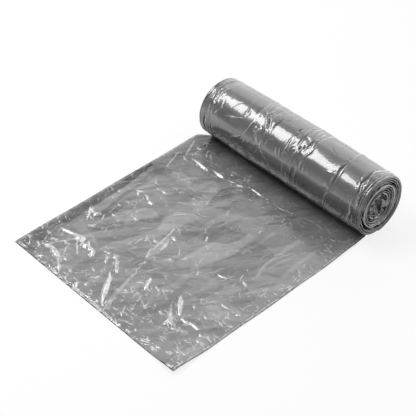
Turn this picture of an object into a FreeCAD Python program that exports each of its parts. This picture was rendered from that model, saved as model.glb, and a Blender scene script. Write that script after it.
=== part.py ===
import FreeCAD, Part

import math
import os

# Bin bag roll: one long web of folded bags, wound on itself with no core, its first bag unrolled flat.
# Millimetres. X runs along the roll, the web is pulled out towards -Y, +Z is up.
# The origin lies on the table, under the roll's axis and midway along it.

# Roll: its length, its height at the very ends, and how much higher it stands in the middle
ROLL_LENGTH = 230.0
END_HEIGHT = 65.8
BARREL = 2.2

# Across its axis the roll is four quarter circles, joined by a flat spot and short upright sides
FLAT_SPOT = 2.0
UPRIGHT = 3.0

# Rounding of each end's rim: how far in it reaches, and the height gained there
RIM_REACH = 2.0
RIM_RISE = 1.2

# Winding: what shows as one turn is a bundle of tightly pressed turns, with air up to the next
TURN_THICKNESS = 2.7
TURN_GAP = 0.7
GAP_DEPTH = 9.0
CORE_RADIUS = 14.0

# Ends of the roll: the inner turns lie ever deeper than the rim, round a small flattened hollow
DISH_DEPTH = 3.5
HOLLOW_DEPTH = 9.0
HOLLOW_WIDTH = 4.5
HOLLOW_HEIGHT = 9.0
HOLLOW_OFFSET = 3.5

# Unrolled bag: from the roll's axis to the torn front edge, and from the middle to each side edge
SHEET_THICKNESS = 1.5
SHEET_LENGTH = 273.0
SHEET_LEFT = 126.5
SHEET_RIGHT = 113.0

# Its left edge gathers in to the end of the roll between these distances from the axis
GATHER_START = 26.0
GATHER_END = 12.0

# Slot between the bag's two halves along the front edge
MOUTH_GAP = 0.3
MOUTH_DEPTH = 5.0

# Tight rings round the roll: full size of one, then each one's place as a share of the roll's half
# length, and its size as a share of the full one
RING_HEIGHT = 0.9
RING_WIDTH = 3.0
RINGS = [(-0.905, 1.0), (0.625, 1.0), (0.880, 1.0), (0.940, 0.7)]

# Places, as shares of the half length, where the barrel shape is held between the rings
BARREL_SHARES = [-0.65, -0.4, -0.15, 0.1, 0.35]

# Folds of the film: half the width of a full crease at its foot, and its height, on each part
SHEET_CREASE = (2.6, 1.5)
ROLL_CREASE = (2.3, 1.1)
CORE_PLEAT = (2.0, 1.8)

# Creases on the unrolled bag: route as shares of its width and length from the front left corner,
# and size as a share of a full crease
SHEET_ROUTES = [
    ([(0.06, 0.17), (0.17, 0.187), (0.27, 0.183), (0.37, 0.205), (0.44, 0.235)], 1.2),
    ([(0.37, 0.195), (0.41, 0.178), (0.445, 0.157)], 1.0),
    ([(0.415, 0.150), (0.475, 0.095), (0.530, 0.030)], 1.2),
    ([(0.415, 0.46), (0.457, 0.32), (0.495, 0.195), (0.56, 0.025)], 0.9),
    ([(0.56, 0.24), (0.575, 0.20), (0.597, 0.165)], 1.0),
    ([(0.61, 0.085), (0.62, 0.06), (0.64, 0.035)], 0.8),
    ([(0.72, 0.253), (0.75, 0.21), (0.80, 0.182)], 1.1),
    ([(0.80, 0.172), (0.905, 0.185), (0.985, 0.180)], 1.0),
    ([(0.09, 0.787), (0.215, 0.785), (0.34, 0.80), (0.41, 0.812)], 1.1),
    ([(0.39, 0.800), (0.507, 0.826), (0.63, 0.832), (0.80, 0.815)], 1.0),
    ([(0.07, 0.843), (0.12, 0.86), (0.17, 0.868)], 0.9),
    ([(0.035, 0.80), (0.048, 0.615), (0.072, 0.45), (0.094, 0.30)], 1.1),
    ([(0.055, 0.285), (0.09, 0.305), (0.13, 0.315)], 0.9),
    ([(0.11, 0.082), (0.194, 0.068), (0.286, 0.020)], 1.1),
    ([(0.13, 0.595), (0.186, 0.568), (0.27, 0.568)], 0.7),
    ([(0.11, 0.50), (0.18, 0.497), (0.25, 0.49)], 0.8),
    ([(0.50, 0.568), (0.525, 0.54), (0.557, 0.498)], 0.7),
    ([(0.68, 0.707), (0.688, 0.60), (0.675, 0.50)], 0.8),
    ([(0.737, 0.42), (0.77, 0.425), (0.804, 0.44)], 0.7),
    ([(0.804, 0.487), (0.82, 0.46), (0.845, 0.443)], 0.7),
    ([(0.862, 0.326), (0.91, 0.335), (0.967, 0.328)], 0.8),
    ([(0.82, 0.862), (0.883, 0.846), (0.937, 0.850)], 0.7),
    ([(0.837, 0.744), (0.845, 0.64), (0.833, 0.542)], 0.7),
    ([(0.912, 0.744), (0.925, 0.66), (0.925, 0.579)], 0.7),
    ([(0.165, 0.24), (0.25, 0.35), (0.34, 0.46)], 0.8),
    ([(0.255, 0.235), (0.335, 0.36), (0.385, 0.47)], 0.8),
    ([(0.30, 0.71), (0.345, 0.60), (0.40, 0.52)], 0.7),
]

# Creases on the roll: route as a share of its half length and an angle, where 0 is the back,
# 90 the top and 180 the front, and size as a share of a full crease
ROLL_ROUTES = [
    ([(-0.66, 146), (-0.53, 136), (-0.465, 116)], 0.8),
    ([(-0.49, 172), (-0.415, 152), (-0.40, 120)], 0.9),
    ([(-0.36, 94), (-0.27, 112), (-0.18, 134)], 1.0),
    ([(-0.30, 140), (-0.19, 160), (-0.10, 178)], 0.8),
    ([(0.14, 94), (0.155, 112), (0.165, 130)], 0.9),
    ([(0.22, 92), (0.24, 112), (0.25, 134)], 1.0),
    ([(0.29, 92), (0.305, 108), (0.285, 126)], 1.0),
    ([(0.215, 136), (0.20, 158), (0.225, 186)], 0.8),
    ([(-0.80, 128), (-0.83, 142), (-0.81, 160)], 0.8),
    ([(0.44, 118), (0.50, 132), (0.53, 150)], 0.8),
]

# Pleats of film crushed into the middle of each end: route across and up from the middle, as
# shares of the floor's radius, and size as a share of a full pleat
CORE_ROUTES = [
    ([(-0.50, 0.62), (-0.10, 0.68), (0.35, 0.45)], 1.0),
    ([(0.45, 0.35), (0.62, -0.05), (0.50, -0.50)], 0.9),
    ([(-0.62, 0.30), (-0.60, -0.15), (-0.35, -0.55)], 0.9),
    ([(-0.20, -0.15), (0.05, -0.45), (0.10, -0.80)], 0.8),
]

# Longest step of a crease round the roll
STEP_DEGREES = 18.0

# How deep a crease's foot is sunk in the film, and how far a cut starts outside the film
CREASE_SINK = 0.5
OVERCUT = 1.0

PITCH = TURN_THICKNESS + TURN_GAP
END_RADIUS = END_HEIGHT / 2
HALF_LENGTH = ROLL_LENGTH / 2
HALF_FLAT = FLAT_SPOT / 2
TURN_COUNT = int((END_RADIUS - CORE_RADIUS) / PITCH)
FLOOR_RADIUS = CORE_RADIUS - PITCH


def vec(x, y, z):
    return FreeCAD.Vector(x, y, z)


def roll_height(x):
    """Height of the roll at a place along it, inside the rims and without the rings."""
    return END_HEIGHT + RIM_RISE + BARREL * (1 - (x / HALF_LENGTH) ** 2)


def line(x, start, end):
    return Part.LineSegment(vec(x, *start), vec(x, *end)).toShape()


def quarter(x, centre, radius, start_angle):
    """Quarter circle across the roll, run anticlockwise as seen from its right end."""
    points = []
    for step in range(3):
        angle = math.radians(start_angle + 45 * step)
        points.append(vec(x, centre[0] + radius * math.cos(angle), centre[1] + radius * math.sin(angle)))
    return Part.Arc(*points).toShape()


def half_turn(x, low, high, angle):
    """Half a turn behind (angle -90) or before (angle 90) the axis, between two heights."""
    radius = (high - low - UPRIGHT) / 2
    side = 1 if angle < 0 else -1
    first, second = (low + radius, high - radius) if angle < 0 else (high - radius, low + radius)
    edge_y = side * (HALF_FLAT + radius)
    return [
        quarter(x, (side * HALF_FLAT, first), radius, angle),
        line(x, (edge_y, first), (edge_y, second)),
        quarter(x, (side * HALF_FLAT, second), radius, angle + 90),
    ]


def roll_section(x, height):
    """Outline across the roll: its last turn comes down in front, one pitch above the table."""
    edges = half_turn(x, 0, height, -90)
    edges.append(line(x, (HALF_FLAT, height), (-HALF_FLAT, height)))
    edges += half_turn(x, PITCH, height, 90)
    edges.append(line(x, (-HALF_FLAT, PITCH), (-HALF_FLAT, 0)))
    edges.append(line(x, (-HALF_FLAT, 0), (HALF_FLAT, 0)))
    return Part.Wire(edges)


def roll_stations():
    """Places along the roll with its height there, in order from left to right."""
    stations = [(share * HALF_LENGTH, roll_height(share * HALF_LENGTH)) for share in BARREL_SHARES]
    for side in (-1, 1):
        stations.append((side * HALF_LENGTH, END_HEIGHT))
        stations.append((side * (HALF_LENGTH - RIM_REACH), END_HEIGHT + RIM_RISE))
    for share, size in RINGS:
        for step, added in ((-1, 0), (0, size * RING_HEIGHT), (1, 0)):
            x = share * HALF_LENGTH + step * size * RING_WIDTH / 2
            stations.append((x, roll_height(x) + added))
    return sorted(stations)


def roll_body():
    return Part.makeLoft([roll_section(x, height) for x, height in roll_stations()], True, True)


def turn_wall(x, inset):
    """One wall of the winding's gap, from the nip between roll and sheet in to the core."""
    edges = []
    start = -HALF_FLAT - OVERCUT
    for turn in range(TURN_COUNT):
        low = turn * PITCH + inset
        high = END_HEIGHT - low
        edges.append(line(x, (start, low), (HALF_FLAT, low)))
        edges += half_turn(x, low, high, -90)
        edges.append(line(x, (HALF_FLAT, high), (-HALF_FLAT, high)))
        edges += half_turn(x, low + PITCH, high, 90)
        start = -HALF_FLAT
    return edges


def winding_gap(x, depth):
    """The air between the turns, as a spiral slot into one end of the roll."""
    start = -HALF_FLAT - OVERCUT
    last = TURN_COUNT * PITCH
    mouth = line(x, (start, TURN_THICKNESS), (start, PITCH))
    tail = line(x, (-HALF_FLAT, last + TURN_THICKNESS), (-HALF_FLAT, last + PITCH))
    walls = turn_wall(x, TURN_THICKNESS) + turn_wall(x, PITCH)
    wire = Part.Wire(Part.__sortEdges__(walls + [mouth, tail]))
    return Part.Face(wire).extrude(vec(depth, 0, 0))


def end_dish(side):
    """Shallow cone from just outside the rim down to a flat floor inside the last turn."""
    rim = vec(side * HALF_LENGTH, 0, END_RADIUS)
    return Part.makeCone(END_RADIUS + OVERCUT, FLOOR_RADIUS, DISH_DEPTH, rim, vec(-side, 0, 0))


def end_hollow(side):
    """The flattened hollow that the winding was started round."""
    centre = vec(side * (HALF_LENGTH + OVERCUT), 0, END_RADIUS + HOLLOW_OFFSET)
    tips = [centre + vec(0, 0, HOLLOW_HEIGHT / 2), centre - vec(0, 0, HOLLOW_HEIGHT / 2)]
    bulge = vec(0, HOLLOW_WIDTH / 2, 0)
    lens = [Part.Arc(tips[0], centre + bulge, tips[1]), Part.Arc(tips[1], centre - bulge, tips[0])]
    depth = DISH_DEPTH + HOLLOW_DEPTH + OVERCUT
    return Part.Face(Part.Wire([arc.toShape() for arc in lens])).extrude(vec(-side * depth, 0, 0))


def sheet_body():
    """The unrolled bag, gathered in at its back left corner where it turns into the winding."""
    corners = [
        (-SHEET_LEFT, -SHEET_LENGTH),
        (SHEET_RIGHT, -SHEET_LENGTH),
        (SHEET_RIGHT, HALF_FLAT),
        (-HALF_LENGTH, HALF_FLAT),
        (-HALF_LENGTH, -GATHER_END),
        (-SHEET_LEFT, -GATHER_START),
    ]
    outline = [vec(x, y, 0) for x, y in corners + corners[:1]]
    return Part.Face(Part.makePolygon(outline)).extrude(vec(0, 0, SHEET_THICKNESS))


def mouth_slot():
    width = SHEET_LEFT + SHEET_RIGHT + 2 * OVERCUT
    corner = vec(-SHEET_LEFT - OVERCUT, -SHEET_LENGTH - OVERCUT, (SHEET_THICKNESS - MOUTH_GAP) / 2)
    return Part.makeBox(width, MOUTH_DEPTH + OVERCUT, MOUTH_GAP, corner)


def triangle(a, b, c):
    return Part.Face(Part.makePolygon([a, b, c, a]))


def crease(crest, normals, full, size):
    """A sharp ridge along a route on the film, swelling from a point at each end."""
    half_width, height = full[0] * size, full[1] * size
    last = len(crest) - 1
    left, top, right = [], [], []
    for i, (place, normal) in enumerate(zip(crest, normals)):
        along = crest[min(i + 1, last)] - crest[max(i - 1, 0)]
        across = normal.cross(along).normalize()
        swell = math.sqrt(math.sin(math.pi * i / last)) if 0 < i < last else 0
        foot = place - normal * CREASE_SINK
        left.append(foot + across * half_width * swell)
        right.append(foot - across * half_width * swell)
        top.append(foot + normal * (height + CREASE_SINK) * swell)
    faces = []
    for i in range(last):
        for a, b in ((left, top), (top, right), (right, left)):
            if i < last - 1:
                faces.append(triangle(a[i], a[i + 1], b[i + 1]))
            if i > 0:
                faces.append(triangle(a[i], b[i + 1], b[i]))
    solid = Part.Solid(Part.Shell(faces))
    if solid.Volume < 0:
        solid.reverse()
    return solid


def sheet_creases():
    solids = []
    width = SHEET_LEFT + SHEET_RIGHT
    for route, size in SHEET_ROUTES:
        crest = [vec(u * width - SHEET_LEFT, (v - 1) * SHEET_LENGTH, SHEET_THICKNESS) for u, v in route]
        solids.append(crease(crest, [vec(0, 0, 1)] * len(crest), SHEET_CREASE, size))
    return solids


def wrapped(route):
    """A route round the roll, with points put in where the roll curves away from it."""
    points = [route[0]]
    for (share, angle), (next_share, next_angle) in zip(route, route[1:]):
        steps = math.ceil(abs(next_angle - angle) / STEP_DEGREES)
        for step in range(1, steps + 1):
            part = step / steps
            points.append((share + (next_share - share) * part, angle + (next_angle - angle) * part))
    return points


def on_roll(share, degrees):
    """A point on the roll's surface, and the way out from it."""
    x = share * HALF_LENGTH
    out = vec(0, math.cos(math.radians(degrees)), math.sin(math.radians(degrees)))
    high = roll_height(x)
    low, centre_y = (0, HALF_FLAT) if degrees < 90 else (PITCH, -HALF_FLAT)
    radius = (high - low - UPRIGHT) / 2
    centre_z = high - radius if degrees <= 180 else low + radius
    return vec(x, centre_y, centre_z) + out * radius, out


def roll_creases():
    solids = []
    for route, size in ROLL_ROUTES:
        places = [on_roll(share, degrees) for share, degrees in wrapped(route)]
        crest = [place for place, _ in places]
        normals = [out for _, out in places]
        solids.append(crease(crest, normals, ROLL_CREASE, size))
    return solids


def core_pleats(side):
    """Crushed film standing on the floor of the dish."""
    solids = []
    out = vec(side, 0, 0)
    x = side * (HALF_LENGTH - DISH_DEPTH)
    for route, size in CORE_ROUTES:
        crest = [vec(x, side * y * FLOOR_RADIUS, END_RADIUS + z * FLOOR_RADIUS) for y, z in route]
        solids.append(crease(crest, [out] * len(crest), CORE_PLEAT, size))
    return solids


def bag_roll():
    body = roll_body().fuse([sheet_body()] + sheet_creases() + roll_creases())
    cuts = [mouth_slot()]
    pleats = []
    for side in (-1, 1):
        cuts.append(winding_gap(side * (HALF_LENGTH + OVERCUT), -side * (GAP_DEPTH + OVERCUT)))
        cuts.append(end_dish(side))
        cuts.append(end_hollow(side))
        pleats += core_pleats(side)
    return body.cut(cuts).fuse(pleats).removeSplitter()


def main():
    os.makedirs("parts", exist_ok=True)
    part = bag_roll()
    print("solids", len(part.Solids), "faces", len(part.Faces), "valid", part.isValid())
    print("volume", round(part.Volume), "box", part.BoundBox)
    part.exportStep("parts/bag_roll.step")


main()
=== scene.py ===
import math

import bpy
import numpy as np
from mathutils import Matrix, Vector
from mathutils.bvhtree import BVHTree
from mathutils.geometry import delaunay_2d_cdt


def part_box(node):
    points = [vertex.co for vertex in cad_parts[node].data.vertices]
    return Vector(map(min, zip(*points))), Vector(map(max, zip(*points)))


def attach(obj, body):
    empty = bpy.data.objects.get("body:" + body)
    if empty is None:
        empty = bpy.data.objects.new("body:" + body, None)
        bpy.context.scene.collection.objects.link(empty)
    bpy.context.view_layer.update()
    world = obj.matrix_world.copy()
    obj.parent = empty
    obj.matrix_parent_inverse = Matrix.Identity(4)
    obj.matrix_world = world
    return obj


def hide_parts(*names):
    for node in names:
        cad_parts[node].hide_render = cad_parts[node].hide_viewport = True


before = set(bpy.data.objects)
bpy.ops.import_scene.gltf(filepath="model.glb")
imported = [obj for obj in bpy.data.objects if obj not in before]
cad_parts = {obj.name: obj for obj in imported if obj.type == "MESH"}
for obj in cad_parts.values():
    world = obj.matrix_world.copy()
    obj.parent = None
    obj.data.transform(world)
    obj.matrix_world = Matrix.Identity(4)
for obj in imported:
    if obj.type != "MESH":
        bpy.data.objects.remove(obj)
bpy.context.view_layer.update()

# Bin bag roll: a wound roll of glossy grey film, its first bag unrolled flat before it.
# Shapes are worked out in millimetres and written to the meshes in metres.
MM = 0.001

# The object's box in the frame, in millimetres
LOW, HIGH = [[value / MM for value in corner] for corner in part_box("bag_roll")]

# Roll: the same section as the solid's, four quarter circles with a flat spot and upright sides
HALF_LENGTH = HIGH[0]
END_HEIGHT = 65.8
RIM_REACH = 2.6
RIM_RISE = 1.3
BARREL = 2.2
FLAT_SPOT = 2.0
UPRIGHT = 3.0
TURN_PITCH = 2.3
SHEET_STEP_UP = 1.6

# Sheet: edges of the unrolled bag, and where its left edge gathers in to the roll's end
SHEET_LEFT = LOW[0]
SHEET_RIGHT = 113.0
SHEET_FRONT = LOW[1]
SHEET_BACK = -1.0
GATHER_START = -27.0
GATHER_END = -11.0

# Half width of the painted highlight along a crease's crest, and the plain tones of the sheet and the roll
CREST_WIDTH = 0.55
CREST_SOFTNESS = 0.4
SHEET_TONE = 0.30
ROLL_TONE = 0.225

# Depth, in millimetres, of a point that no mark is near, and the lowest depth that a mesh keeps
UNMARKED = -9.0
MARK_FLOOR = -1.5

# How many waves make up a soft noise
WAVES = 14

# Fineness of the meshes: steps of the skin, the sheet's upper and lower films and the ends
SKIN_STEP = 0.69
SHEET_STEP = 0.82
UNDER_STEP = 2.5
END_STEP = 0.24

# Camera, fitted to the photograph: place in metres, then angles in degrees, then focal length
CAMERA_PLACE = (0.685738, -0.745110, 0.859430)
CAMERA_AZIMUTH = 47.902
CAMERA_TILT = 41.723
CAMERA_ROLL = -1.19
FOCAL_PIXELS = 1252.3
PHOTO_PIXELS = 416
SENSOR = 36.0

# Tonal patches of the sheet, painted lighter or darker as light and shade on its facets, each also
# raised or lowered a little: tone change, then outline
SHEET_LIGHT_AND_SHADE = [
    (-0.09, [(-129, -92), (-120, -95), (-117, -120), (-113, -150), (-112, -185), (-110, -214), (-114, -222),
        (-122, -219), (-129, -211)]),
    (0.065, [(-120, -98), (-114, -98), (-110, -130), (-106, -150), (-101, -175), (-99.5, -187), (-110, -188),
        (-111, -170), (-114, -140), (-117, -120)]),
    (-0.045, [(-109, -118), (-105, -116), (-101, -150), (-95, -190), (-99, -190), (-104, -150)]),
    (-0.05, [(-98, -141), (-92, -141), (-88, -170), (-89, -190), (-97, -189), (-96, -160)]),
    (0.04, [(-104, -100), (-92, -118), (-91, -140), (-99, -150), (-101, -125)]),
    (0.07, [(-46, -128), (-31, -117), (-19, -117), (-24, -130), (-28, -145), (-30, -165), (-40, -184),
        (-44, -197), (-50, -216), (-60, -217), (-49, -186), (-41, -160), (-47, -141)]),
    (0.06, [(-84, -166), (-76, -151), (-66, -142), (-51, -146), (-61, -160), (-66, -176), (-80, -199),
        (-90, -206), (-91, -188)]),
    (-0.055, [(-51, -139), (-46, -150), (-60, -176), (-74, -201), (-87, -209), (-80, -190), (-64, -165)]),
    (-0.055, [(-39, -171), (-44, -187), (-61, -208), (-71, -213), (-59, -192), (-46, -176)]),
    (-0.05, [(-43, -193), (-48, -206), (-58, -217), (-61, -216), (-53, -203)]),
    (-0.035, [(-84, -178), (-76, -181), (-79, -197), (-86, -207), (-88, -194)]),
    (0.05, [(-106, -202), (-92, -209), (-64, -216), (-60, -221), (-90, -219), (-106, -217)]),
    (0.055, [(-52, -66), (-45, -68), (-33, -92), (-31, -108), (-34, -117), (-40, -104), (-45, -96),
        (-50, -82)]),
    (0.055, [(-20, -63), (-16, -66), (-17, -80), (-24, -99), (-31, -117), (-34, -117), (-31, -98),
        (-24, -78)]),
    (-0.05, [(-43, -67), (-22, -65), (-26, -80), (-32, -98), (-34, -92), (-39, -78)]),
    (0.045, [(-58, -66), (-54, -66), (-53, -84), (-58, -97), (-60, -84)]),
    (0.045, [(-94, -80), (-72, -84), (-64, -92), (-78, -97), (-96, -92)]),
    (-0.04, [(-70, -100), (-52, -98), (-46, -112), (-56, -128), (-70, -122)]),
    (-0.05, [(-2, -103), (10, -96), (28, -100), (27, -118), (15, -130), (5, -138), (-1, -131), (-6, -115)]),
    (0.05, [(-10, -95), (2, -86), (14, -78), (20, -76), (8, -92), (0, -102), (-5, -112), (-6, -122),
        (-12, -120)]),
    (0.075, [(27, -96), (37, -96), (39, -130), (34, -150), (31, -160), (30, -178), (24, -171), (20, -179),
        (9, -179), (10, -150), (13, -132), (24, -122), (30, -105)]),
    (0.05, [(30, -80), (34, -82), (37, -96), (27, -96), (20, -112), (22, -98)]),
    (-0.045, [(41, -100), (69, -98), (71, -120), (66, -140), (67, -152), (55, -165), (40, -160), (34, -150),
        (40, -130)]),
    (-0.04, [(-27, -122), (-12, -122), (-4, -136), (-6, -150), (-20, -146), (-27, -138)]),
    (0.1, [(69, -66), (74, -66), (73, -80), (74, -95), (73, -110), (75, -122), (79, -134), (76, -134),
        (72, -120), (70, -108), (70, -95), (67, -80)]),
    (0.07, [(80, -94), (86, -88), (84, -96), (80, -108), (78, -119), (77, -112)]),
    (0.06, [(91, -66), (95, -70), (95, -95), (96, -112), (94, -119), (91, -95)]),
    (0.05, [(43, -78), (47, -80), (48, -100), (44, -124), (41, -118), (45, -98)]),
    (0.05, [(70, -158), (80, -156), (79, -170), (72, -184), (64, -196), (66, -180)]),
    (0.045, [(98, -128), (108, -118), (104, -136), (92, -152), (84, -164), (88, -150)]),
    (-0.04, [(83, -152), (98, -154), (100, -170), (88, -180), (80, -166)]),
    (0.05, [(26, -181), (33, -180), (34, -206), (28, -228), (22, -222), (28, -204)]),
    (-0.045, [(36, -190), (46, -188), (44, -200), (52, -216), (46, -240), (40, -262), (34, -240),
        (37, -214)]),
    (-0.04, [(64, -206), (78, -208), (88, -218), (70, -222)]),
    (0.05, [(66, -240), (74, -243), (60, -258), (48, -269), (50, -262), (60, -250)]),
    (-0.045, [(-56, -222), (-48, -222), (-44, -240), (-46, -262), (-54, -256), (-58, -240)]),
    (0.045, [(-36, -232), (-28, -236), (-22, -250), (-24, -264), (-34, -252)]),
    (-0.05, [(-20, -232), (-8, -224), (-4, -238), (0, -252), (-8, -247), (-16, -238)]),
    (0.04, [(-108, -230), (-98, -232), (-88, -246), (-100, -249), (-108, -242)]),
    (-0.05, [(-126, -244), (-112, -246), (-106, -252), (-118, -256), (-127, -254)]),
    (-0.05, [(-127, -261), (-112, -262), (-100, -268), (-126, -270)]),
    (0.1, [(-27, -149), (-21, -158), (-13, -172), (-12, -181), (-17, -193), (-22, -190), (-25, -166)]),
    (0.06, [(4, -208), (8, -206), (10, -222), (6, -240), (1, -232)]),
    (0.05, [(74, -186), (90, -190), (96, -200), (80, -204), (72, -196)]),
    (-0.045, [(98, -206), (112, -204), (111, -218), (98, -220)]),
    (-0.05, [(86, -240), (104, -242), (102, -252), (90, -256)]),
    (0.05, [(96, -228), (110, -230), (110, -240), (98, -236)]),
]
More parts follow.
